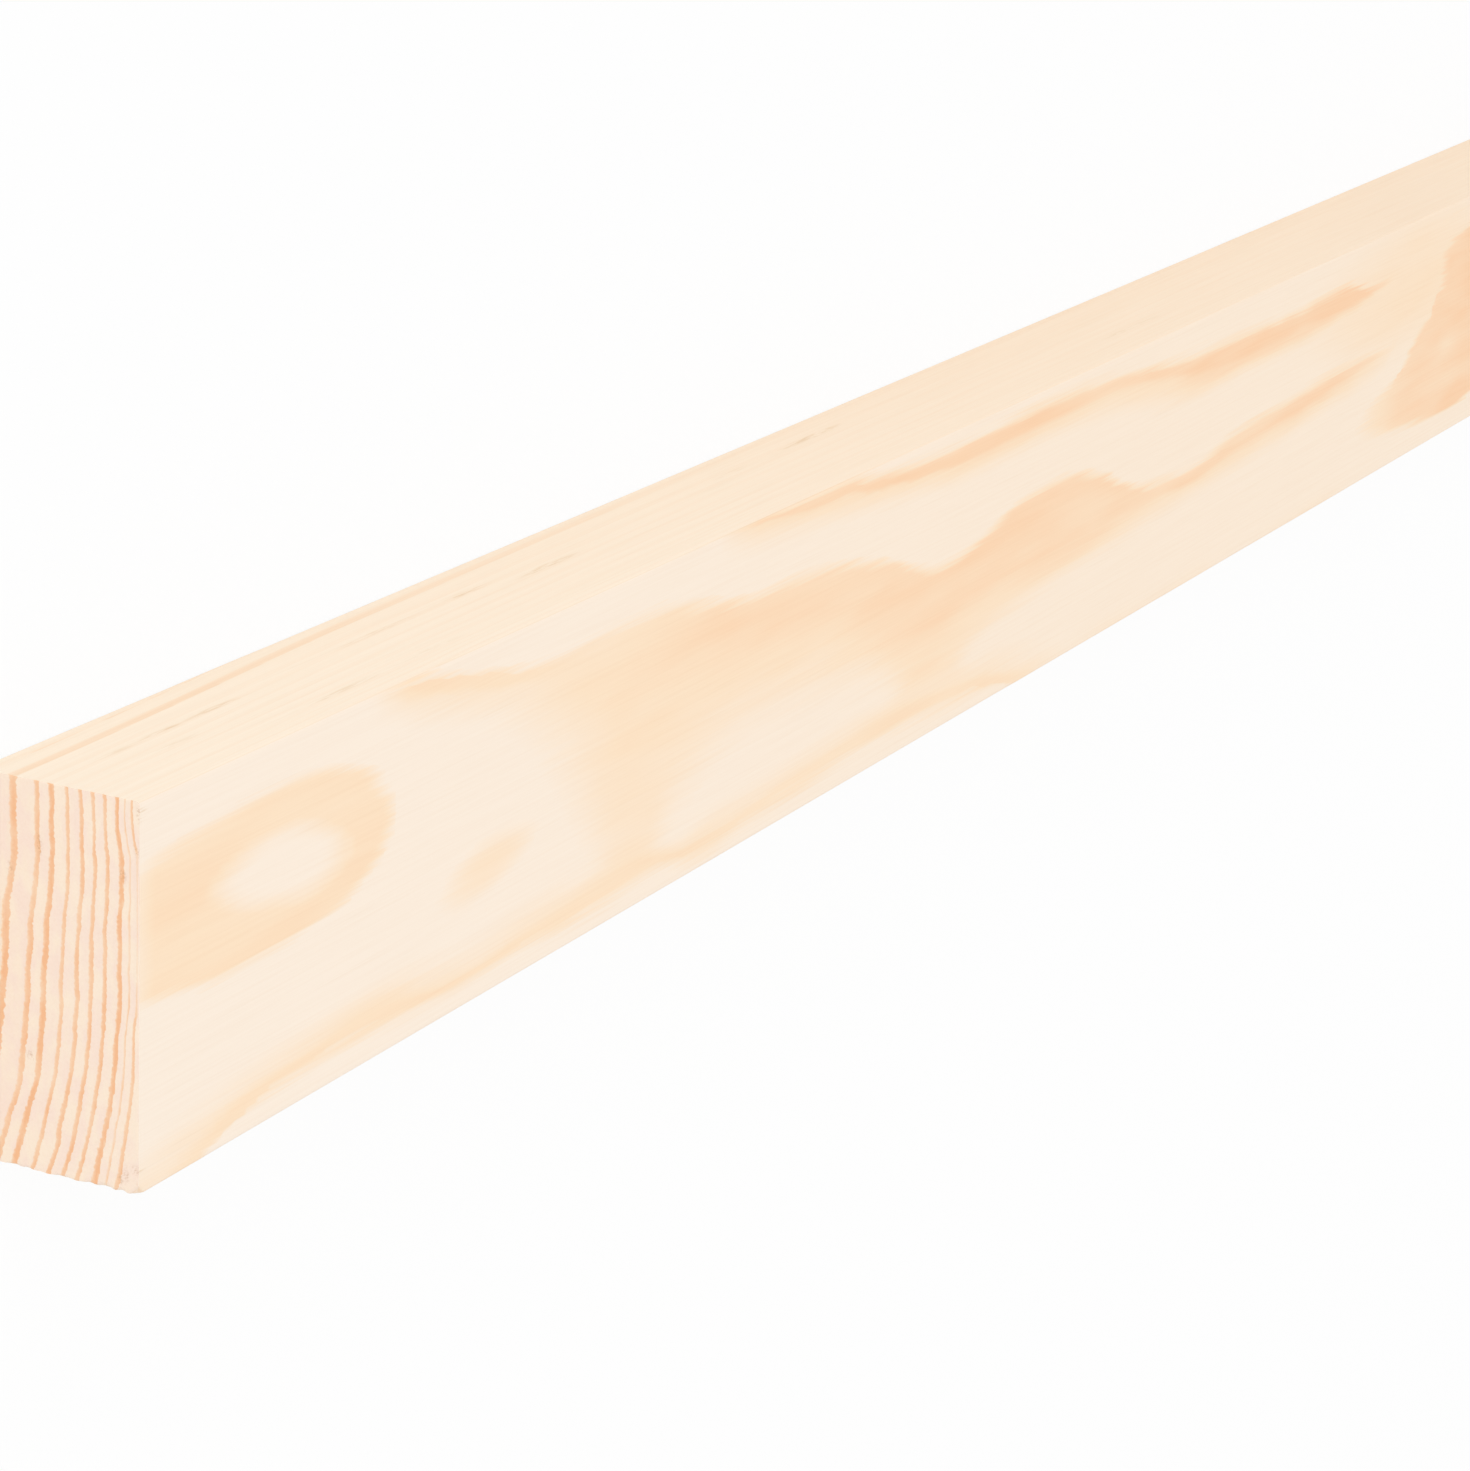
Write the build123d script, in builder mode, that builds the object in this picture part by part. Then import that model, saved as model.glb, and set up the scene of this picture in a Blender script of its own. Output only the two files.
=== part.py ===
from build123d import *
import os

# A length of planed square-edge softwood, one sawn and planed piece, lying flat on a wide face.
# Millimetres. X runs along the grain, Y across the width, Z up through the thickness.
# The origin is at the middle of the face that the plank lies on.

# Driving dimensions
length = 1800.0  # stock length between the two sawn ends
width = 94.0  # finished width of the planed section
thickness = 44.0  # finished thickness of the planed section
arris_radius = 0.8  # easing that planing leaves on the four long edges

os.makedirs("parts", exist_ok=True)

# The plank: its planed section with eased arrises, run along the grain between two square saw cuts
with BuildPart() as plank:
    with BuildSketch(Plane.YZ.offset(-length / 2)) as planed_section:
        with Locations((0, thickness / 2)):
            Rectangle(width, thickness)
        fillet(planed_section.vertices(), arris_radius)
    extrude(amount=length)

plank.part.label = "plank"
export_step(plank.part, "parts/plank.step")
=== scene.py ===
import math

import bpy
import numpy as np
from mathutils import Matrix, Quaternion, Vector


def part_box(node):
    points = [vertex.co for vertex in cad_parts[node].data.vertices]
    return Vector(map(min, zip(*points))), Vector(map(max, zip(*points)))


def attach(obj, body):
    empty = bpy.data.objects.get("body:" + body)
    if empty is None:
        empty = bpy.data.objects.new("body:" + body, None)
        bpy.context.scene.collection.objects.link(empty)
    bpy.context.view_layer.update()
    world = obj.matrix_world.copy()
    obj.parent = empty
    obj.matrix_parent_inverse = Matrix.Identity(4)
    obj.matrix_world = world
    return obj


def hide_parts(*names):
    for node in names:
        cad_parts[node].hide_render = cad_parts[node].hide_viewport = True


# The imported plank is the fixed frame: everything below is placed from it
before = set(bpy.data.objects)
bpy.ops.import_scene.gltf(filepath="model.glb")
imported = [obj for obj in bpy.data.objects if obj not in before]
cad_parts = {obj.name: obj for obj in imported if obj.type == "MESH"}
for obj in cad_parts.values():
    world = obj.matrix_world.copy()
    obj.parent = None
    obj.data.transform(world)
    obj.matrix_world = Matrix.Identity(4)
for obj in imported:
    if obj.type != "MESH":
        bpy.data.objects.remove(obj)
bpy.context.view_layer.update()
LOW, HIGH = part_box("plank")

# The wood is described in millimetres: along from the near end, across from the +Y edge, and up from the
# lower face
MM = 0.001
LENGTH, WIDTH, THICKNESS = [float(side) / MM for side in HIGH - LOW]
ARRIS_RADIUS = 0.8

# Growth rings
# A ring number rises outwards through the wood. Late wood fills the last part of each ring: it begins paler,
# and ends sharply at the whole number.
LATE_SHARE, LATE_FULL_SHARE, LATE_END_SHARE = 0.3, 0.22, 0.03
LATE_CORE_SHARE, LATE_PALER_SIDE = 0.11, 0.5

# The rings on the sawn end, from the first number up: (height of the sharp line at the crown of its bow,
# thickness of the late wood, its strength on the ends)
FIRST_RING = -2
RINGS = [
    (-10, 1.6, 0.8), (-3, 1.6, 0.8), (4.2, 1.6, 0.8), (11, 2.3, 0.9), (17.2, 1.8, 0.75), (21.3, 1.9, 1),
    (25.5, 1.3, 0.7), (29.5, 1.5, 0.8), (32.9, 1.4, 0.8), (36.3, 1.4, 0.8), (40.2, 1.7, 1), (42, 0.7, 0.4),
    (44.3, 1, 0.7), (48, 1.5, 0.9), (51.7, 1.5, 0.9), (55.4, 1.5, 0.9), (59, 1.5, 0.9),
]

# Across the width the lines bow down towards the -Y edge, lean a little, and bow slightly at the +Y edge
BOW_CROWN = 20
BOW_POWER = 3
BOW_AT_LOWER_FACE, BOW_AT_UPPER_FACE = 9.9, 6.6
BOW_AT_FAR_EDGE = 1.2
LEAN, LEAN_FROM, LEAN_TO = 2.7, 16, 38

# Away from the near end, the heart side of the wood drifts towards the lower face and curves more
DRIFT, DRIFT_POWER = 11, 1.3
HEART_BOW, HEART_BOW_FROM = 5, 160

# Waver of the rings inside the wood and of the figure on the upper face: (size, length along, length across)
RING_WAVER = [(0.45, 220, 11), (0.25, 140, 3.4)]
FIGURE_WAVER = [(1.0, 34, 9), (0.5, 14, 4)]
RING_SEED, FIGURE_SEED = 1, 5

# The waver changes with height too: its cells are this many times as tall as they are long across
WAVER_TALLER_ALONG, WAVER_TALLER_ACROSS = 1.6, 2.3

# The figure on the upper wide face. Each band of late wood is drawn as (along, sharp side, fading side), and
# the valley between the two lower bands as (along, across, ring number).
OUTER_RING, MIDDLE_RING = 12, 11
OUTER_BAND = [
    (0, -18, -10), (200, -8, -2), (280, -2.5, 4), (340, -0.5, 8), (375, 2, 9.5), (410, 5.5, 13.5),
    (450, 5.5, 15.5), (500, 5, 15.5), (550, 6, 16.5), (590, 9, 19.5), (620, 11.5, 24.5),
    (660, 12.5, 26.5), (710, 13.5, 26.5), (750, 14.5, 26.5), (790, 13.5, 25.5), (815, 16.5, 24),
    (845, 15, 31), (885, 9, 35), (930, 8, 35), (1050, 12, 24), (1200, 22, 33), (1350, 30, 42),
    (1500, 18, 29), (1650, 2, 12), (1800, -6, 3),
]
MIDDLE_BAND = [
    (0, -14, -9), (90, -2, 1), (110, 0, 4), (130, 3, 10), (150, 7, 16), (175, 11.5, 24), (192, 13, 38),
    (203, 12.5, 52), (212, 12, 66), (222, 12, 72), (248, 12.5, 72), (258, 13.5, 67), (268, 15, 61),
    (280, 17, 58), (300, 21, 57), (345, 24, 56), (362, 26, 58), (378, 28.5, 62), (395, 31, 66),
    (410, 36.5, 70), (425, 41, 71), (440, 41.5, 72), (458, 39, 71), (480, 34.5, 68), (500, 33, 66),
    (525, 33.5, 65.5), (550, 37, 64.5), (575, 43.5, 63.5), (590, 48.5, 62.5), (615, 51, 62),
    (645, 52, 62), (670, 50, 61), (700, 48, 60), (740, 46.5, 58), (780, 44.5, 56), (820, 44, 53),
    (860, 44, 49), (1050, 42, 55), (1200, 52, 64), (1350, 58, 70), (1500, 46, 60), (1650, 34, 50),
    (1800, 28, 46),
]
LOWER_BAND = [
    (0, 99, 92), (15, 93, 86), (35, 88, 80), (60, 87, 78), (92, 86.5, 74), (108, 87, 74.5),
    (125, 88, 77.5), (145, 88, 82), (165, 88, 79), (190, 88, 77), (222, 88, 74), (250, 87, 75),
    (265, 88.5, 80), (280, 90, 80.5), (300, 88, 79), (340, 86.5, 78), (375, 86, 75.5), (400, 87, 75.5),
    (450, 88, 77), (470, 89, 80), (490, 92, 84), (510, 96, 89), (530, 101, 94.5), (578, 99, 92),
    (600, 102, 95), (640, 99, 92), (670, 103, 96), (775, 99, 92.5), (810, 104, 97), (1050, 103, 94),
    (1350, 107, 98), (1650, 92, 84), (1800, 88, 80),
]
VALLEY = [
    (0, 64, 10.3), (180, 66, 10.4), (200, 70, 10.62), (214, 73, 10.735), (252, 73, 10.735),
    (266, 70, 10.6), (290, 68, 10.4), (345, 66, 10.35), (380, 70, 10.55), (400, 73, 10.72),
    (455, 74.5, 10.725), (475, 75, 10.6), (510, 78, 10.4), (600, 79, 10.25), (750, 78, 10.3),
    (1050, 76, 10.3), (1350, 82, 10.4), (1500, 74, 10.3), (1650, 66, 10.1), (1800, 62, 10.2),
]

# Widths over which a band's sides run out, and how far along its fading side is looked up
SHARP_SIDE_RUN, FADING_SIDE_RUN = 6, 8
MIDDLE_FADING_RUN = [(0, 8), (245, 8), (275, 22), (360, 22), (400, 8), (1800, 8)]
FADING_SIDE_SPREAD = [-14, -7, 0, 7, 14]

# Places on that face where the rings dip or rise to a centre: the loop at the near end with its pale eye, the
# two side lobes of the swirl further on, the swirl and its eye, and a small island. The level is the ring
# number at the centre, the rim is the one on the oval, and the rings go on beyond it at a slope of their own.
DIPS = [
    {"centre": (61, 32), "before": 105, "after": 53, "half_width": 22, "lean": 0, "power": 2,
     "level": 9.78, "rim": 10, "curve": 0.35, "beyond": 1.2},
    {"centre": (63, 32), "before": 32, "after": 26, "half_width": 10.5, "lean": -0.9, "power": 2,
     "level": 9.69, "rim": 9.83, "curve": 1, "beyond": 1.2},
    {"centre": (918, 71), "before": 110, "after": 75, "half_width": 15.5, "lean": 0.4, "power": 2,
     "level": 9.8, "rim": 10, "curve": 0.3, "beyond": 1.2},
    {"centre": (912, 57), "before": 54, "after": 92, "half_width": 22, "lean": 0.3, "power": 2,
     "level": 9.76, "rim": 10, "curve": 0.3, "beyond": 1.2},
    {"centre": (999, 44), "before": 101, "after": 230, "half_width": 37, "lean": -0.65, "power": 5,
     "level": 9.8, "rim": 10, "curve": 0.4, "beyond": 3},
    {"centre": (1010, 45), "before": 62, "after": 170, "half_width": 24, "lean": 0.5, "power": 2,
     "level": 7.5, "rim": 9.77, "curve": 0.8, "beyond": 1.2},
]
RISES = [
    {"centre": (157, 59), "before": 27, "after": 27, "half_width": 10, "lean": 0.8, "power": 2,
     "level": 10.79, "rim": 10.7, "curve": 0.9, "beyond": 1.2},
]

# The power of a plain oval, and the ring numbers over which two shapes run into each other
ROUND_POWER = 2
DIP_BLEND = 0.3

# Distances along the plank over which the bands are smoothed, and the figure's reach into the wood
BAND_SMOOTHING = [-8, -4, 0, 4, 8]
FIGURE_DEPTH = 5

# How strong the late wood is along the wide faces, as (along, strength), in the outer and the middle band and
# in the loop and the swirl, then in the band along the lower edge and on the narrow faces. On the ends it
# fades out at the arris of the upper face. One line near the lower face starts strong on the narrow faces.
OUTER_STRENGTH = [
    (0, 0), (280, 0), (305, 0.85), (360, 0.85), (420, 0.8), (600, 0.9), (740, 1), (800, 1.35),
    (825, 0.8), (845, 0.36), (900, 0.36), (1000, 0.2), (1100, 0.3), (1220, 0.8), (1800, 0.85),
]
MIDDLE_STRENGTH = [
    (0, 0), (98, 0), (118, 0.55), (200, 0.5), (240, 0.52), (290, 0.74), (360, 0.8), (460, 0.8),
    (560, 0.8), (640, 0.78), (740, 0.84), (790, 0.85), (825, 0.6), (845, 0.3), (1100, 0.3), (1220, 0.8),
    (1800, 0.85),
]
INNER_STRENGTH = [
    (0, 0.3), (6, 0.56), (120, 0.58), (800, 0.45), (830, 0.55), (860, 0.8), (905, 0.85), (935, 1),
    (1800, 0.9),
]
LOWER_BAND_STRENGTH, LOWER_BAND_FROM, LOWER_BAND_TO = 0.57, 72, 78
NARROW_STRENGTH = 0.12
END_ARRIS_FADE = 1.1
FIRST_LINE_RING, FIRST_LINE_STRENGTH, FIRST_LINE_LENGTH = 1, 0.75, 480

# Small dark flecks of torn or resinous fibre: (place along, across, up), (reach along, across, up), amount
FLECKS = [
    ((30, 0, 18.9), (9, 3, 0.8), 0.5), ((46, 0, 18.7), (9, 3, 0.8), 1),
    ((68, 0, 18.5), (10, 3, 0.8), 0.9), ((146, 0, 15.9), (20, 3, 0.8), 0.5),
    ((191, 0, 15.6), (11, 3, 0.9), 0.8), ((228, 0, 19.7), (15, 3, 1.1), 0.9),
    ((98, 0, 35.6), (18, 3, 0.8), 0.6), ((140, 0, 35), (17, 3, 0.8), 0.4),
    ((42, 0, 26.5), (8, 3, 0.8), 0.4), ((350, 0, 12.6), (10, 3, 0.9), 0.4),
    ((402, 0, 11.9), (20, 3, 1.1), 0.9), ((610, 0, 30), (24, 3, 1.0), 0.5),
    ((0, 22, 9), (3, 1.5, 0.8), 1), ((0, 15, 17.2), (3, 2.5, 0.6), 1),
    ((0, 18.3, 39.6), (3, 1.0, 0.9), 1), ((0, 66.3, 14.3), (3, 0.9, 0.7), 1),
    ((0, 91, 39.2), (3, 1.0, 0.9), 1), ((0, 89.5, 40.6), (3, 1.6, 0.6), 1),
    ((0, 88, 43.2), (3, 0.8, 1.0), 1), ((0, 3, 43.7), (3, 1.6, 0.6), 1),
    ((0, 12, 43.2), (3, 1.0, 0.6), 1), ((1800, 40, 21), (3, 1.4, 0.8), 1),
    ((1800, 71, 30), (3, 1.5, 0.8), 1), ((1800, 12, 12), (3, 1.2, 0.8), 1),
]

# Beside the swirl the early wood too has some of the late wood's tint, written as the flecks are
TINTS = [((875, 24, 44), (108, 24, 60), 0.47)]

# The size of a table of random values, and the least length that is divided by
NOISE_CELLS = 256
LEAST_RUN = 0.001


def eased(t):
    """A smooth step from 0 to 1."""
    t = np.clip(t, 0, 1)
    return t * t * (3 - 2 * t)


def noise(x, y, seed):
    """Smooth random values from -1 to 1 over cells of size 1, the same at each run."""
    nodes = np.random.default_rng(seed).uniform(-1, 1, (NOISE_CELLS, NOISE_CELLS))
    i, j = np.floor(x).astype(int), np.floor(y).astype(int)
    u, v = eased(x - i), eased(y - j)
    here_i, here_j, next_i, next_j = [cell % NOISE_CELLS for cell in (i, j, i + 1, j + 1)]
    lower = nodes[here_i, here_j] * (1 - u) + nodes[next_i, here_j] * u
    upper = nodes[here_i, next_j] * (1 - u) + nodes[next_i, next_j] * u
    return lower * (1 - v) + upper * v


def waver(sizes, along, across, up, seed):
    """Uneven waves, longer along the grain than across it."""
    total = np.zeros_like(along)
    for n, (size, run_along, run_across) in enumerate(sizes):
        x = along / run_along + up / run_across / WAVER_TALLER_ALONG
        y = across / run_across + up / run_across / WAVER_TALLER_ACROSS
        total += size * noise(x, y, seed + n)
    return total


def ring_table():
    """Heights and ring numbers at the start and the end of each ring's late wood."""
    height, late = np.transpose(RINGS)[:2]
    number = FIRST_RING + np.arange(len(RINGS))
    heights = np.column_stack([height - late, height])
    numbers = np.column_stack([number - LATE_SHARE, number])
    return heights.ravel(), numbers.ravel()


def line_at(points, column, along):
    """Where a smooth line through the given points lies at each place along the plank."""
    table = np.array(points, float)
    place, value = table[:, 0], table[:, column]
    slope = np.gradient(value, place)
    i = np.clip(np.searchsorted(place, along) - 1, 0, len(place) - 2)
    run = place[i + 1] - place[i]
    t = np.clip((along - place[i]) / run, 0, 1)
    straight = value[i] + (value[i + 1] - value[i]) * eased(t)
    return straight + run * t * (1 - t) * ((1 - t) * slope[i] - t * slope[i + 1])


def oval_level(shape, along, across):
    """Ring numbers round a centre: its level there, the rim's on an oval, and going on beyond it.

    A high power makes the oval blunt at its near end.
    """
    from_centre = across - shape["centre"][1]
    along = along - shape["centre"][0] + shape["lean"] * from_centre
    reach = np.where(along < 0, shape["before"], shape["after"])
    power = shape["power"] + (ROUND_POWER - shape["power"]) * eased(along / reach)
    oval = (along / reach) ** 2 + np.abs(from_centre / shape["half_width"]) ** power
    rise = shape["rim"] - shape["level"]
    inside = shape["level"] + rise * np.minimum(oval, 1) ** shape["curve"]
    return inside + np.sign(rise) * shape["beyond"] * np.maximum(oval - 1, 0)


def smooth_least(first, second):
    """The lesser of two ring numbers, with a smooth change from one to the other."""
    share = np.clip(0.5 + (second - first) / DIP_BLEND / 2, 0, 1)
    return second + (first - second) * share - DIP_BLEND * share * (1 - share)


def band_lines(band, ring, along, lowest, downwards, fading_run):
    """Lines of equal ring number on a band's sharp and fading sides, in their order across the face.

    The fading side is widest where it turns across the face.
    """
    sharp = line_at(band, 1, along)
    fading = np.array([line_at(band, 2, along + step) for step in FADING_SIDE_SPREAD]) * downwards
    half_sharp, half_fading = SHARP_SIDE_RUN / 2 * downwards, fading_run / 2
    lines = [
        (sharp - half_sharp, ring),
        (sharp + half_sharp, ring - LATE_END_SHARE),
        ((fading.min(axis=0) - half_fading) * downwards, ring - LATE_FULL_SHARE),
        ((fading.max(axis=0) + half_fading) * downwards, np.maximum(ring - LATE_SHARE, lowest)),
    ]
    return lines[::downwards]


def banded_ring(along, across):
    """The ring number between the lines of the bands on the upper wide face."""
    valley, valley_ring = line_at(VALLEY, 1, along), line_at(VALLEY, 2, along)
    middle_run = np.interp(along, *np.transpose(MIDDLE_FADING_RUN))
    lines = band_lines(OUTER_BAND, OUTER_RING, along, MIDDLE_RING, 1, FADING_SIDE_RUN)
    lines += band_lines(MIDDLE_BAND, MIDDLE_RING, along, valley_ring, 1, middle_run)
    lines.append((valley, valley_ring))
    lines += band_lines(LOWER_BAND, MIDDLE_RING, along, valley_ring, -1, FADING_SIDE_RUN)
    places = np.maximum.accumulate([place for place, level in lines])
    levels = [np.broadcast_to(level, along.shape) for place, level in lines]
    slope_outside = LATE_END_SHARE / SHARP_SIDE_RUN
    ring = levels[0] + slope_outside * np.maximum(places[0] - across, 0)
    for k in range(len(lines) - 1):
        share = np.clip((across - places[k]) / np.maximum(places[k + 1] - places[k], LEAST_RUN), 0, 1)
        ring = np.where(across >= places[k], levels[k] + share * (levels[k + 1] - levels[k]), ring)
    return ring + slope_outside * np.maximum(across - places[-1], 0)


def upper_face_ring(along, across):
    """The ring number on the upper wide face: its bands, then its ovals."""
    ring = np.mean([banded_ring(along + step, across) for step in BAND_SMOOTHING], axis=0)
    for shape in RISES:
        ring = np.maximum(ring, oval_level(shape, along, across))
    for shape in DIPS:
        ring = smooth_least(ring, oval_level(shape, along, across))
    return ring


def ring_height(along, across, up):
    """Height at the crown, on the near end, of the ring that passes through a point inside the wood."""
    height_share = up / THICKNESS
    below = np.maximum((across - BOW_CROWN) / (WIDTH - BOW_CROWN), 0) ** BOW_POWER
    above = np.maximum((BOW_CROWN - across) / BOW_CROWN, 0) ** 2
    bow = BOW_AT_LOWER_FACE + (BOW_AT_UPPER_FACE - BOW_AT_LOWER_FACE) * height_share
    lean = LEAN * (1 - height_share) * eased((across - LEAN_FROM) / (LEAN_TO - LEAN_FROM))
    on_section = up + bow * below + BOW_AT_FAR_EDGE * height_share * above + lean
    drift = DRIFT * (along / LENGTH) ** DRIFT_POWER
    heart_bow = HEART_BOW * (2 * across / WIDTH - 1) ** 2 * eased(along / HEART_BOW_FROM)
    further_on = (drift + heart_bow) * (1 - height_share)
    return on_section + further_on + waver(RING_WAVER, along, across, up, RING_SEED)


def ring_number(along, across, up):
    """The growth ring that each point lies in: the figure on the upper face, and the section below it."""
    heights, numbers = ring_table()
    level = np.zeros_like(up)
    wavy_across = across + waver(FIGURE_WAVER, along, across, level, FIGURE_SEED)
    figure = upper_face_ring(along, wavy_across)
    shift = np.interp(figure, numbers, heights) - ring_height(along, across, level + THICKNESS)
    share = np.exp((up - THICKNESS) / FIGURE_DEPTH)
    return np.interp(ring_height(along, across, up) + share * shift, heights, numbers)


def late_wood(ring):
    """How much of the late wood a ring number holds, from 0 to 1."""
    left = np.ceil(ring) - ring
    return eased((LATE_SHARE - left) / (LATE_SHARE - LATE_FULL_SHARE)) * eased(left / LATE_END_SHARE)


def at_end(along):
    """Which points lie on one of the two sawn ends."""
    return np.minimum(along, LENGTH - along) < ARRIS_STEP / 2


def late_strength(along, across, up, ring):
    """How strongly late wood shows at each point."""
    number = np.ceil(ring).astype(int)
    tables = (OUTER_STRENGTH, MIDDLE_STRENGTH, INNER_STRENGTH)
    outer, middle, inner = [np.interp(along, *np.transpose(table)) for table in tables]
    in_lower_band = eased((across - LOWER_BAND_FROM) / (LOWER_BAND_TO - LOWER_BAND_FROM))
    middle = middle + (LOWER_BAND_STRENGTH - middle) * in_lower_band
    wide = np.where(number < MIDDLE_RING, inner, np.where(number == MIDDLE_RING, middle, outer))
    on_first_line = (number == FIRST_LINE_RING) * eased(1 - along / FIRST_LINE_LENGTH)
    narrow = NARROW_STRENGTH + (FIRST_LINE_STRENGTH - NARROW_STRENGTH) * on_first_line
    end = np.array(RINGS)[number - FIRST_RING, 2] * eased((THICKNESS - up) / END_ARRIS_FADE)
    from_edge, from_face = np.minimum(across, WIDTH - across), np.minimum(up, THICKNESS - up)
    return np.where(at_end(along), end, np.where(from_edge < from_face, narrow, wide))


def patch_amount(patches, along, across, up):
    """How much of some soft-edged patches each point holds, from 0 to 1."""
    amount = np.zeros_like(along)
    for place, reach, most in patches:
        away = sum(((p - c) / r) ** 2 for p, c, r in zip((along, across, up), place, reach))
        amount = np.maximum(amount, most * np.exp(-away ** 2))
    return amount


# The plank's surface
ARRIS_STEP = 0.27
ACROSS_STEP, UP_STEP, ALONG_STEP = 1.5, 0.85, 9
FINE_ALONG_STEP, FINE_UNTIL = 5, 1060
STEP_GROWTH = 1.3
SHARP_ANGLE = math.radians(35)

# The long sides are numbered first, then the two ends
LONG_SIDES, NEAR_END, FAR_END = 4, 4, 5

# Relief: early wood lies a little below late wood, and flecks are torn out of the ends
PLANED_RELIEF, SAWN_RELIEF, FLECK_RELIEF = 0.05, 0.08, 0.2

# Fibres that the saw tore from the ends' edges, as the size of an uneven bevel: along the -Y edge, at its
# upper corner and elsewhere. Waves, as (size, length), make it uneven, and the corner itself is knocked off.
TORN_EDGE, TORN_CORNER, TORN_ELSEWHERE = 0.7, 2.6, 0.4
TORN_CORNER_REACH = 9
TORN_WAVES, TORN_MIDDLE = [(0.5, 3.2), (0.5, 1.7)], 0.5
KNOCKED_CORNER = 2.6

# For each end, the first seed of its torn edges and the direction into the wood
TORN_ENDS = [(11, 1), (31, -1)]
TORN_SEED_STEP = 5


def graded(span, fine, coarse):
    """Places from 0 to span, fine at both ends and coarse in the middle."""
    places, step = [0.0], fine
    while places[-1] < span / 2:
        places.append(places[-1] + step)
        step = min(step * STEP_GROWTH, coarse)
    half = np.array(places) * span / 2 / places[-1]
    return np.concatenate([half, span - half[-2::-1]])


def stations():
    """Places along the plank where its section is drawn, closer together on the figured half."""
    near, far = graded(LENGTH, ARRIS_STEP, FINE_ALONG_STEP), graded(LENGTH, ARRIS_STEP, ALONG_STEP)
    return np.concatenate([near[near < FINE_UNTIL], far[far > FINE_UNTIL]])


def round_arrises(across, up):
    """Moves the points in each corner of the section onto the eased arris."""
    centre_across = np.clip(across, ARRIS_RADIUS, WIDTH - ARRIS_RADIUS)
    centre_up = np.clip(up, ARRIS_RADIUS, THICKNESS - ARRIS_RADIUS)
    from_across, from_up = across - centre_across, up - centre_up
    longest = np.maximum(np.abs(from_across), np.abs(from_up))
    shrink = longest / np.maximum(np.hypot(from_across, from_up), LEAST_RUN)
    return centre_across + from_across * shrink, centre_up + from_up * shrink


def torn(place, seed):
    """Uneven waves along an end's edge, from 0 to 1."""
    waves = sum(size * noise(place / run, 0 * place, seed + n) for n, (size, run) in enumerate(TORN_WAVES))
    return np.clip(waves + TORN_MIDDLE, 0, 1)


def tear_edges(along, across, up):
    """Bevels the ends' edges unevenly, most where the saw came out, at the -Y edge."""
    for seed, sign in TORN_ENDS:
        inward = along if sign > 0 else LENGTH - along
        corner = np.exp((up - THICKNESS) / TORN_CORNER_REACH)
        size = (TORN_EDGE + (TORN_CORNER - TORN_EDGE) * corner) * torn(up, seed)
        bevel = np.maximum(size - inward - (WIDTH - across), 0) / 2
        along, across = along + sign * bevel, across - bevel
        knocked = np.maximum(KNOCKED_CORNER - inward - (WIDTH - across) - (THICKNESS - up), 0) / 3
        along, across, up = along + sign * knocked, across - knocked, up - knocked
        size = TORN_ELSEWHERE * torn(up, seed + TORN_SEED_STEP)
        bevel = np.maximum(size - inward - across, 0) / 2
        along, across = along + sign * bevel, across + bevel
        size = TORN_ELSEWHERE * torn(across, seed + 2 * TORN_SEED_STEP)
        bevel = np.maximum(size - inward - (THICKNESS - up), 0) / 2
        along, up = along + sign * bevel, up - bevel
    return along, across, up


def section_rim(columns, rows):
    """The grid places round the section's rim, with the number on each side: upper, -Y, lower, +Y."""
    upper = [(c, rows - 1) for c in range(columns - 1)]
    minus_y = [(columns - 1, r) for r in range(rows - 1, 0, -1)]
    lower = [(c, 0) for c in range(columns - 1, 0, -1)]
    plus_y = [(0, r) for r in range(rows - 1)]
    return upper + minus_y + lower + plus_y, [len(upper), len(minus_y), len(lower), len(plus_y)]


def plank_surface():
    """Points (along, across, up), and faces with the side that each is on: four long sides, then two ends."""
    across_lines, up_lines = graded(WIDTH, ARRIS_STEP, ACROSS_STEP), graded(THICKNESS, ARRIS_STEP, UP_STEP)
    along_lines = stations()
    columns, rows, count = len(across_lines), len(up_lines), len(along_lines)
    rim, side_counts = section_rim(columns, rows)
    section = np.array([(across_lines[c], up_lines[r]) for c, r in rim])

    # The long sides: the rim at every station
    points = [np.column_stack([np.repeat(along_lines, len(rim)), np.tile(section, (count, 1))])]
    start = np.arange(count - 1)[:, None] * len(rim)
    here = np.arange(len(rim))
    after = np.roll(here, -1)
    quads = np.stack([start + here, start + after, start + len(rim) + after, start + len(rim) + here], -1)
    faces = [quads.reshape(-1, 4)]
    face_sides = [np.tile(np.repeat(range(LONG_SIDES), side_counts), count - 1)]

    # The ends: the whole grid of the section, whose edge is the rim at the first or last station
    for side, station in ((NEAR_END, 0), (FAR_END, count - 1)):
        number = np.zeros((columns, rows), int)
        number[tuple(np.transpose(rim))] = station * len(rim) + here
        inside = np.array([(c, r) for c in range(1, columns - 1) for r in range(1, rows - 1)])
        number[tuple(inside.T)] = sum(map(len, points)) + np.arange(len(inside))
        places = np.column_stack([across_lines[inside[:, 0]], up_lines[inside[:, 1]]])
        points.append(np.column_stack([np.full(len(inside), along_lines[station]), places]))
        corners = [number[:-1, :-1], number[1:, :-1], number[1:, 1:], number[:-1, 1:]]
        quads = np.stack(corners, -1).reshape(-1, 4)
        faces.append(quads if side == NEAR_END else quads[:, ::-1])
        face_sides.append(np.full(len(quads), side))
    return np.concatenate(points), np.concatenate(faces), np.concatenate(face_sides)


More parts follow.
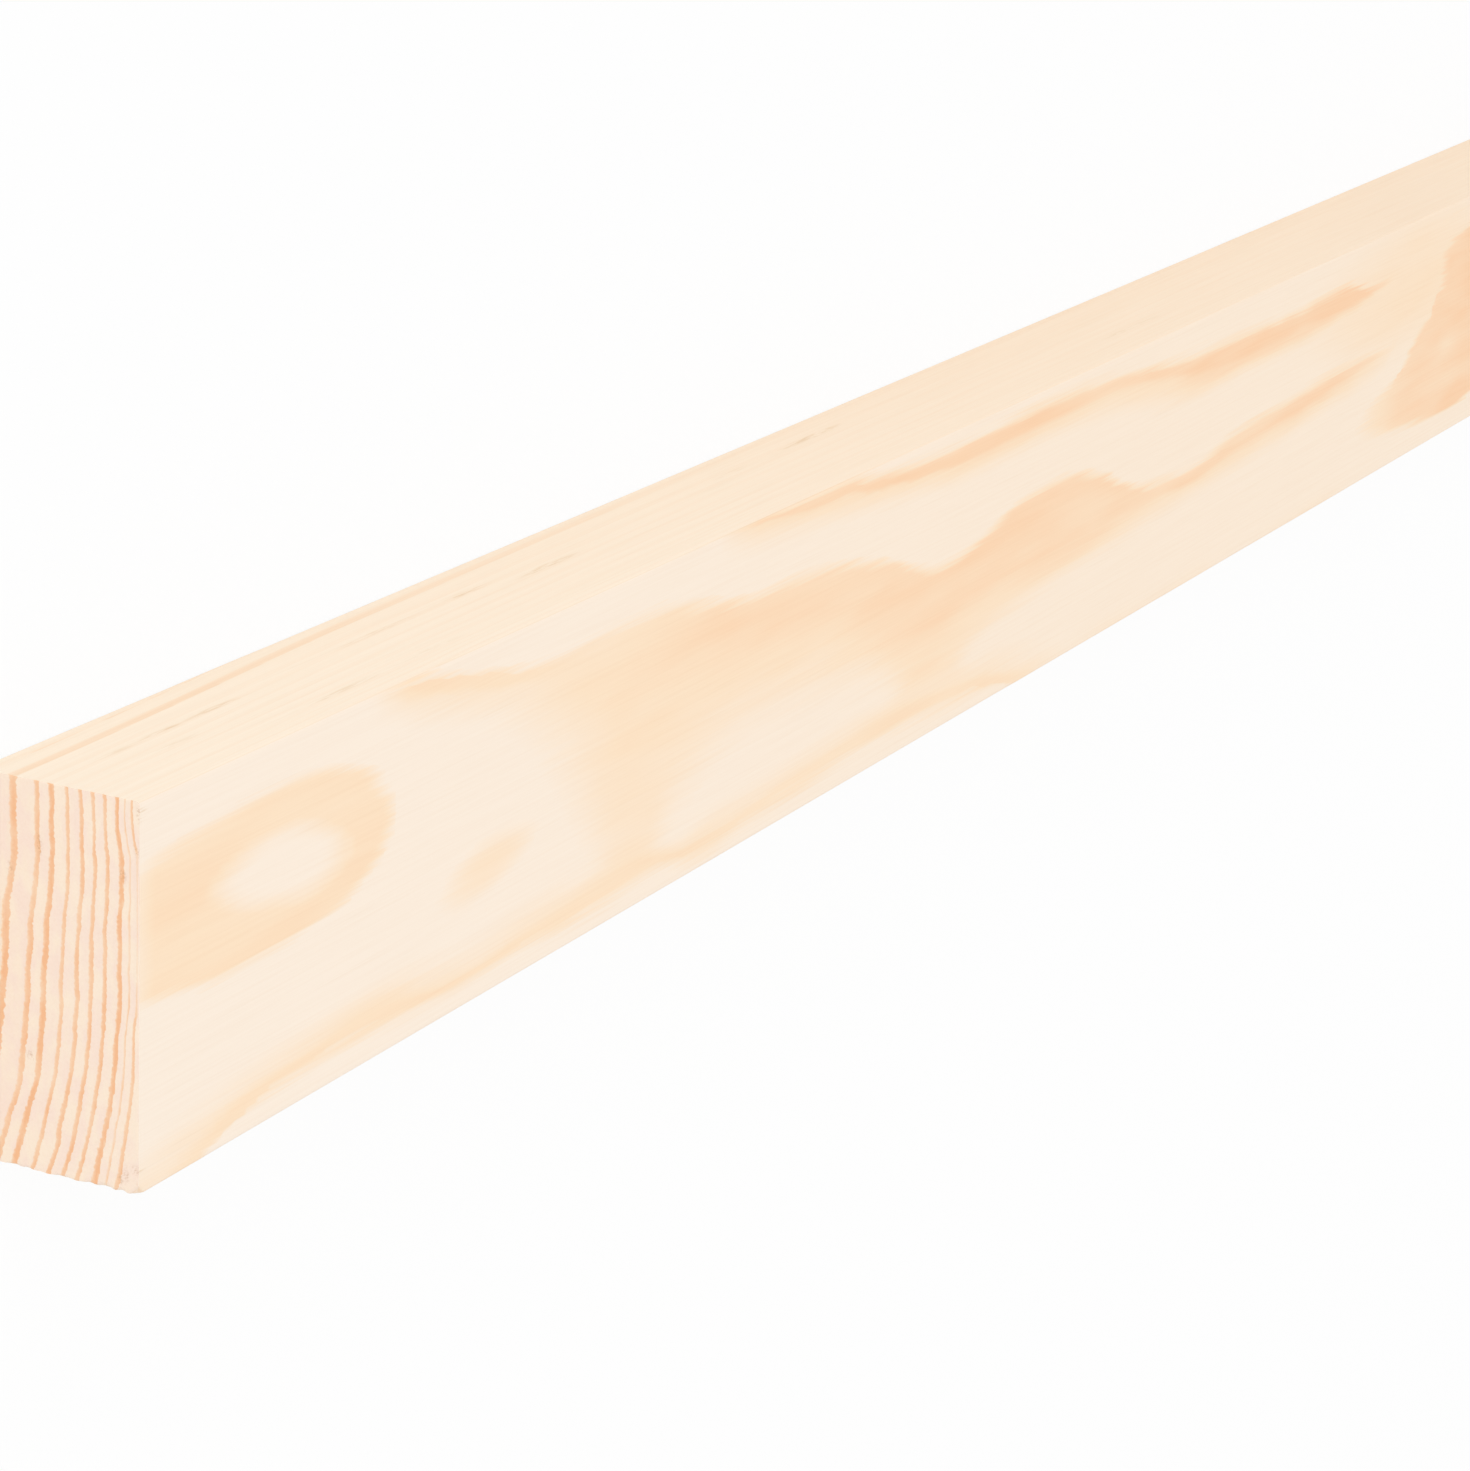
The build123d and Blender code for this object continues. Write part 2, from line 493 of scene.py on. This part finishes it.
# The map that spreads the surface over a square: a row for each long side, and one for both ends, as
# (sides, height)
MAP_ROWS = [((0,), 0.285), ((1,), 0.135), ((2,), 0.245), ((3,), 0.135), ((NEAR_END, FAR_END), 0.175)]
MAP_GAP = 0.004


def surface_map(points, faces, face_sides):
    """The place of every face corner on that square."""
    along, across, up = (points / (LENGTH, WIDTH, THICKNESS)).T
    by_side = [(along, across), (along, up), (along, across), (along, up), (across, up), (across, up)]
    places = np.zeros((*faces.shape, 2))
    base = MAP_GAP
    for sides, height in MAP_ROWS:
        for n, side in enumerate(sides):
            corners = faces[face_sides == side]
            u, v = [share[corners] for share in by_side[side]]
            u = (n + MAP_GAP + u * (1 - 2 * MAP_GAP)) / len(sides)
            places[face_sides == side] = np.stack([u, base + v * height], -1)
        base += height + MAP_GAP
    return places


def weathered(along, across, up, rings, flecks):
    """The points with their relief: eased arrises, lower early wood, torn flecks and torn end edges."""
    on_end = at_end(along)
    across, up = round_arrises(across, up)
    early = 1 - late_wood(rings)
    across = across + np.sign(WIDTH / 2 - across) * PLANED_RELIEF * early
    up = up + np.sign(THICKNESS / 2 - up) * PLANED_RELIEF * early
    sunk = np.where(on_end, SAWN_RELIEF * early + FLECK_RELIEF * flecks, 0)
    along = along + np.sign(LENGTH / 2 - along) * sunk
    return tear_edges(along, across, up)


def build_plank():
    """The plank as one closed mesh, with what its material needs to know kept on its points."""
    points, faces, face_sides = plank_surface()
    along, across, up = points.T
    rings, flecks = ring_number(along, across, up), patch_amount(FLECKS, along, across, up)
    tints, strengths = patch_amount(TINTS, along, across, up), late_strength(along, across, up, rings)
    kept = {"ring": rings, "fleck": flecks, "tint": tints, "strength": strengths}
    places = surface_map(points, faces, face_sides)
    along, across, up = weathered(along, across, up, rings, flecks)

    mesh = bpy.data.meshes.new("planed_plank")
    where = np.column_stack([LOW.x + along * MM, HIGH.y - across * MM, LOW.z + up * MM])
    mesh.from_pydata(where.tolist(), [], faces.tolist())
    for name, values in kept.items():
        mesh.attributes.new(name, "FLOAT", "POINT").data.foreach_set("value", values.astype(np.float32))
    mesh.uv_layers.new(name="OFBake").data.foreach_set("uv", places.astype(np.float32).ravel())
    mesh.polygons.foreach_set("use_smooth", np.ones(len(faces), bool))
    mesh.set_sharp_from_angle(angle=SHARP_ANGLE)
    mesh.update()
    plank = bpy.data.objects.new("planed_plank", mesh)
    bpy.context.scene.collection.objects.link(plank)
    return plank


def screen(red, green, blue):
    """A colour written as it shows on screen, 0 to 255, for a shader, by the sRGB formula."""
    levels = [value / 255 for value in (red, green, blue)]
    return (*[v / 12.92 if v <= 0.04045 else ((v + 0.055) / 1.055) ** 2.4 for v in levels], 1)


# The wood's colours. Away from the near end the early wood is a little yellower and darker: partly its own
# tone, partly painted shade for the light falling off along the plank.
FACE_EARLY, FACE_PALE_LATE, FACE_LATE = screen(254, 239, 222), screen(255, 229, 198), screen(254, 211, 170)
EDGE_EARLY, EDGE_PALE_LATE, EDGE_LATE = screen(254, 238, 217), screen(252, 227, 199), screen(248, 214, 178)
END_EARLY, END_PALE_LATE, END_LATE = screen(253, 235, 214), screen(250, 213, 179), screen(247, 191, 147)
END_PINK_EARLY = screen(251, 229, 213)
FACE_FAR_EARLY, EDGE_FAR_EARLY, FAR_TONE_AT = screen(254, 236, 215), screen(253, 232, 207), 650
# The streaks' colour also serves as the painted shade on the arrises
STREAK_AND_ARRIS_SHADE, FLECK, END_FLECK = screen(226, 196, 160), screen(220, 178, 116), screen(196, 150, 108)

# How much softer and broader late wood shows on the narrow faces, and how much painted shade darkens the
# arrises against the lamp's highlight there
EDGE_LATE_SCALE = 0.7
ARRIS_SHADE_SHARE = 0.16

# Noise in the wood: the size of its cells in millimetres along, across and up, its detail and any roughness
FINE_WAVER = (70, 1.6, 1.6), 2.0
BROAD_WAVER = (80, 14, 14), 2.0
JAGS = (9, 1.1, 1.1), 1.0
PATCHES = (5, 9, 5), 2.0
FIBRES = (60, 0.8, 0.8), 4.0, 0.6
STREAKS = (45, 0.9, 0.9), 1.0
BREAKS = (7, 0.45, 0.45), 2.0
CUT_CELLS = (0.5, 0.45, 0.45), 3.0, 0.7
SAW_MARKS = (1.0, 40, 0.9), 2.0

# How far the noise shifts the rings, then the rings on the ends, and how much it varies late wood on the ends
FINE_WAVER_SHARE, JAG_SHARE, PATCH_SHARE = 0.045, 0.16, 1.2

# Smooth steps of the noise and of a face's direction: start and end, then low and high if they aren't 0 and 1
BROAD_WAVER_STEP = 0.25, 0.75, 0.8, 1.15
PATCH_STEP = 0.35, 0.65
FIBRE_STEP = 0.35, 0.8, 0.0, 0.08
STREAK_STEP = 0.68, 0.76, 0.0, 0.06
BREAK_STEP = 0.42, 0.6, 0.0, 0.5
FACING_STEP = 0.45, 0.75
ARRIS_FACING_STEP = 0.72, 0.98, 1.0, 0.0
ROUGHNESS_STEP = 0.2, 0.8, 0.52, 0.66

# The amount of late wood that has its pale colour, on the way from early wood to its deep colour
PALE_LATE_AT = 0.5

# Gloss and fine bumps: late wood is a little smoother, and sawn wood is rougher
LATE_ROUGHNESS, SAWN_ROUGHNESS = -0.08, 0.2
SPECULAR_LEVEL = 0.25
SAW_MARK_SHARE, FIBRE_SHARE = 0.8, 0.6
BUMP_STRENGTH, BUMP_DEPTH = 0.25, 0.2


class Nodes:
    """Short calls for making a material's nodes and links."""

    def __init__(self, tree):
        self.tree = tree

    def new(self, kind, inputs=None, **settings):
        node = self.tree.nodes.new("ShaderNode" + kind)
        for name, value in settings.items():
            setattr(node, name, value)
        for key, value in (inputs or {}).items():
            self.feed(node.inputs[key], value)
        return node

    def feed(self, socket, value):
        if isinstance(value, bpy.types.NodeSocket):
            self.tree.links.new(value, socket)
        else:
            socket.default_value = value

    def math(self, operation, *values):
        node = self.new("Math", operation=operation)
        for socket, value in zip(node.inputs, values):
            self.feed(socket, value)
        return node.outputs[0]

    def step(self, value, start, end, low=0.0, high=1.0):
        keys = {"Value": value, "From Min": start, "From Max": end, "To Min": low, "To Max": high}
        return self.new("MapRange", keys, interpolation_type="SMOOTHSTEP").outputs[0]

    def mix(self, factor, first, second, blend="MIX"):
        node = self.new("Mix", data_type="RGBA", blend_type=blend)
        for key, value in ((0, factor), (6, first), (7, second)):
            self.feed(node.inputs[key], value)
        return node.outputs[2]

    def noise(self, vector, sizes, detail, roughness=0.55):
        """Noise whose cells have the given sizes in millimetres along, across and up."""
        scale = tuple(1 / (size * MM) for size in sizes)
        scaled = self.new("VectorMath", {0: vector, 1: scale}, operation="MULTIPLY").outputs[0]
        keys = {"Vector": scaled, "Scale": 1.0, "Detail": detail, "Roughness": roughness}
        return self.new("TexNoise", keys).outputs[0]

    def kept(self, name):
        """A value kept on the mesh's points."""
        return self.new("Attribute", attribute_name=name).outputs["Fac"]

    def add_share(self, value, wave, share):
        """A value with a share of a wave about 0.5 added to it."""
        return self.math("MULTIPLY_ADD", self.math("SUBTRACT", wave, 0.5), share, value)


def late_amount(nodes, position, on_end, on_edge, patches):
    """How much late wood shows, from the rings kept on the points and from noise."""
    fine_waver = nodes.noise(position, *FINE_WAVER)
    broad_waver = nodes.noise(position, *BROAD_WAVER)
    jags = nodes.math("MULTIPLY", nodes.noise(position, *JAGS), nodes.math("MULTIPLY", on_end, JAG_SHARE))
    ring = nodes.add_share(nodes.kept("ring"), fine_waver, FINE_WAVER_SHARE)
    ring = nodes.math("ADD", ring, nodes.math("MULTIPLY_ADD", on_end, -JAG_SHARE / 2, jags))
    edge_scale = nodes.math("MULTIPLY_ADD", on_edge, EDGE_LATE_SCALE - 1, 1.0)
    left = nodes.math("MULTIPLY", nodes.math("SUBTRACT", 1.0, nodes.math("FRACT", ring)), edge_scale)
    begun = nodes.step(left, LATE_FULL_SHARE, LATE_SHARE, 1.0, 0.0)
    not_ended = nodes.step(left, 0.0, LATE_END_SHARE)
    deeper = nodes.step(left, LATE_CORE_SHARE, LATE_SHARE, 1.0, LATE_PALER_SIDE)
    late = nodes.math("MULTIPLY", nodes.math("MULTIPLY", begun, not_ended), deeper)
    late = nodes.math("MULTIPLY", late, nodes.kept("strength"))
    late = nodes.math("MAXIMUM", late, nodes.kept("tint"))
    late = nodes.math("MULTIPLY", late, nodes.step(broad_waver, *BROAD_WAVER_STEP))
    late_on_end = nodes.math("MULTIPLY", on_end, late)
    return nodes.add_share(late, patches, nodes.math("MULTIPLY", late_on_end, PATCH_SHARE))


def ringed_colour(nodes, position, on_end, on_edge, late, patches):
    """Early wood, then pale and deep late wood, in the colours of each kind of face."""
    place_along = nodes.new("SeparateXYZ", {0: position}).outputs[0]
    # Partly painted shade: the early wood darkens a little further from the near end, as the light falls off
    # along the plank
    further_on = nodes.step(place_along, LOW.x, LOW.x + FAR_TONE_AT * MM)
    face_early = nodes.mix(further_on, FACE_EARLY, FACE_FAR_EARLY)
    edge_early = nodes.mix(further_on, EDGE_EARLY, EDGE_FAR_EARLY)
    end_early = nodes.mix(nodes.step(patches, *PATCH_STEP), END_EARLY, END_PINK_EARLY)
    early_colour = nodes.mix(on_end, nodes.mix(on_edge, face_early, edge_early), end_early)
    pale_colour = nodes.mix(on_end, nodes.mix(on_edge, FACE_PALE_LATE, EDGE_PALE_LATE), END_PALE_LATE)
    late_colour = nodes.mix(on_end, nodes.mix(on_edge, FACE_LATE, EDGE_LATE), END_LATE)
    pale_share = nodes.math("MULTIPLY", late, 1 / PALE_LATE_AT)
    colour = nodes.mix(pale_share, early_colour, pale_colour)
    return nodes.mix(nodes.math("SUBTRACT", pale_share, 1.0), colour, late_colour)


def marked_colour(nodes, position, on_end, on_arris, fibres, colour):
    """A colour with fibres and streaks along the grain, flecks, and painted shade on the arrises."""
    colour = nodes.mix(nodes.step(fibres, *FIBRE_STEP), colour, STREAK_AND_ARRIS_SHADE, "MULTIPLY")
    streaks = nodes.step(nodes.noise(position, *STREAKS), *STREAK_STEP)
    streaks = nodes.math("MULTIPLY", streaks, nodes.math("SUBTRACT", 1.0, on_end))
    colour = nodes.mix(streaks, colour, STREAK_AND_ARRIS_SHADE)
    broken = nodes.step(nodes.noise(position, *BREAKS), *BREAK_STEP)
    fleck_colour = nodes.mix(on_end, FLECK, END_FLECK)
    colour = nodes.mix(nodes.math("MULTIPLY", nodes.kept("fleck"), broken), colour, fleck_colour)
    # Painted shade: the arrises are darkened with the streaks' colour, against the key lamp's highlight on
    # them
    return nodes.mix(nodes.math("MULTIPLY", on_arris, ARRIS_SHADE_SHARE), colour, STREAK_AND_ARRIS_SHADE, "MULTIPLY")


def fine_bumps(nodes, position, on_end, fibres):
    """The normal of fibres along the grain, and of cut cells with saw marks on the ends."""
    cells = nodes.noise(position, *CUT_CELLS)
    sawn = nodes.math("MULTIPLY_ADD", nodes.noise(position, *SAW_MARKS), SAW_MARK_SHARE, cells)
    planed = nodes.math("MULTIPLY", fibres, FIBRE_SHARE)
    height = nodes.new("Mix", {0: on_end, 2: planed, 3: sawn}).outputs[0]
    keys = {"Strength": BUMP_STRENGTH, "Distance": BUMP_DEPTH * MM, "Height": height}
    return nodes.new("Bump", keys).outputs[0]


def softwood():
    """Pale planed softwood, matt and bare, with rougher sawn ends."""
    material = bpy.data.materials.new("softwood")
    material.use_nodes = True
    nodes = Nodes(material.node_tree)
    shader = material.node_tree.nodes["Principled BSDF"]
    position = nodes.new("TexCoord").outputs["Object"]
    facing = nodes.new("SeparateXYZ", {0: nodes.new("NewGeometry").outputs["Normal"]}).outputs
    end_on, edge_on, face_on = [nodes.math("ABSOLUTE", facing[axis]) for axis in range(3)]
    on_end = nodes.step(end_on, *FACING_STEP)
    on_edge = nodes.step(edge_on, *FACING_STEP)
    squarely = nodes.math("MAXIMUM", nodes.math("MAXIMUM", edge_on, face_on), on_end)
    on_arris = nodes.step(squarely, *ARRIS_FACING_STEP)

    fibres = nodes.noise(position, *FIBRES)
    patches = nodes.noise(position, *PATCHES)
    late = late_amount(nodes, position, on_end, on_edge, patches)
    colour = ringed_colour(nodes, position, on_end, on_edge, late, patches)
    colour = marked_colour(nodes, position, on_end, on_arris, fibres, colour)
    rough = nodes.math("MULTIPLY_ADD", on_end, SAWN_ROUGHNESS, nodes.step(fibres, *ROUGHNESS_STEP))
    rough = nodes.math("MULTIPLY_ADD", late, LATE_ROUGHNESS, rough)
    nodes.feed(shader.inputs["Base Color"], colour)
    nodes.feed(shader.inputs["Roughness"], rough)
    nodes.feed(shader.inputs["Normal"], fine_bumps(nodes, position, on_end, fibres))
    shader.inputs["Specular IOR Level"].default_value = SPECULAR_LEVEL
    return material


# The stage: a white floor under plain soft light
FLOOR_HALF_SIDE = 30.0
FLOOR_GAP = 0.1 * MM
FLOOR_WHITE = 0.93
WHITE = (1, 1, 1, 1)
FLOOR_LIFT = 0.9
FILL_LIGHT = 0.89
KEY_PLACE, KEY_AIM = Vector((-4.3, 3.9, 3.6)), Vector((-0.45, 0, 0))
KEY_DIAMETER = 4.8
KEY_POWER = 75

# The camera stands where the photograph's did: it looks along the plank from its near end, turned on its side
CAMERA_PLACE = Vector((-1.7024, 0.3638, 0.5858))
CAMERA_AIM = Vector((-0.6054, -0.0132, 0.0440))
CAMERA_TURN = math.radians(100.73)
CAMERA_LENS, CAMERA_SENSOR = 112.26, 36.0


def seen_directly(nodes):
    """1 for what is seen straight, in a gloss or through glass, and 0 for light that falls on the object."""
    path = nodes.new("LightPath").outputs
    seen = nodes.math("MAXIMUM", path["Is Camera Ray"], path["Is Glossy Ray"])
    return nodes.math("MAXIMUM", seen, path["Is Transmission Ray"])


def build_floor():
    """A wide white floor that keeps the plank's soft shadow."""
    mesh = bpy.data.meshes.new("floor")
    side, height = FLOOR_HALF_SIDE, LOW.z - FLOOR_GAP
    corners = [(-side, -side, height), (side, -side, height), (side, side, height), (-side, side, height)]
    mesh.from_pydata(corners, [], [(0, 1, 2, 3)])
    floor = bpy.data.objects.new("floor", mesh)
    bpy.context.scene.collection.objects.link(floor)
    material = bpy.data.materials.new("floor_white")
    material.use_nodes = True
    nodes = Nodes(material.node_tree)
    material.node_tree.nodes.remove(material.node_tree.nodes["Principled BSDF"])
    matt = nodes.new("BsdfDiffuse", {"Color": (FLOOR_WHITE, FLOOR_WHITE, FLOOR_WHITE, 1)})
    white = nodes.new("Emission", {"Color": WHITE, "Strength": 1.0})
    lift = nodes.math("MULTIPLY", seen_directly(nodes), FLOOR_LIFT)
    both = nodes.new("MixShader", {0: lift, 1: matt.outputs[0], 2: white.outputs[0]})
    nodes.feed(material.node_tree.nodes["Material Output"].inputs["Surface"], both.outputs[0])
    mesh.materials.append(material)


def build_light():
    """An even white surround, and one large soft lamp on the camera's side."""
    world = bpy.data.worlds.new("surround")
    world.use_nodes = True
    nodes = Nodes(world.node_tree)
    background = world.node_tree.nodes["Background"]
    background.inputs["Color"].default_value = WHITE
    strength = nodes.new("Mix", {0: seen_directly(nodes), 2: FILL_LIGHT, 3: 1.0}).outputs[0]
    nodes.feed(background.inputs["Strength"], strength)
    bpy.context.scene.world = world

    lamp = bpy.data.lights.new("key", "AREA")
    lamp.shape = "DISK"
    lamp.size = KEY_DIAMETER
    lamp.energy = KEY_POWER
    key = bpy.data.objects.new("key", lamp)
    key.location = KEY_PLACE
    key.rotation_mode = "QUATERNION"
    key.rotation_quaternion = (KEY_AIM - KEY_PLACE).to_track_quat("-Z", "Y")
    bpy.context.scene.collection.objects.link(key)


def build_camera():
    """The photograph's camera, lying on its side so that the flat plank shows as it stands in the picture."""
    data = bpy.data.cameras.new("camera")
    data.sensor_fit = "HORIZONTAL"
    data.sensor_width = CAMERA_SENSOR
    data.lens = CAMERA_LENS
    camera = bpy.data.objects.new("camera", data)
    camera.location = CAMERA_PLACE
    camera.rotation_mode = "QUATERNION"
    level = (CAMERA_AIM - CAMERA_PLACE).to_track_quat("-Z", "Y")
    camera.rotation_quaternion = level @ Quaternion((0, 0, 1), CAMERA_TURN)
    bpy.context.scene.collection.objects.link(camera)
    bpy.context.scene.camera = camera


plank = build_plank()
plank.data.materials.append(softwood())
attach(plank, "root")
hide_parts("plank")

build_floor()
build_light()
build_camera()
bpy.context.scene.view_settings.view_transform = "Standard"
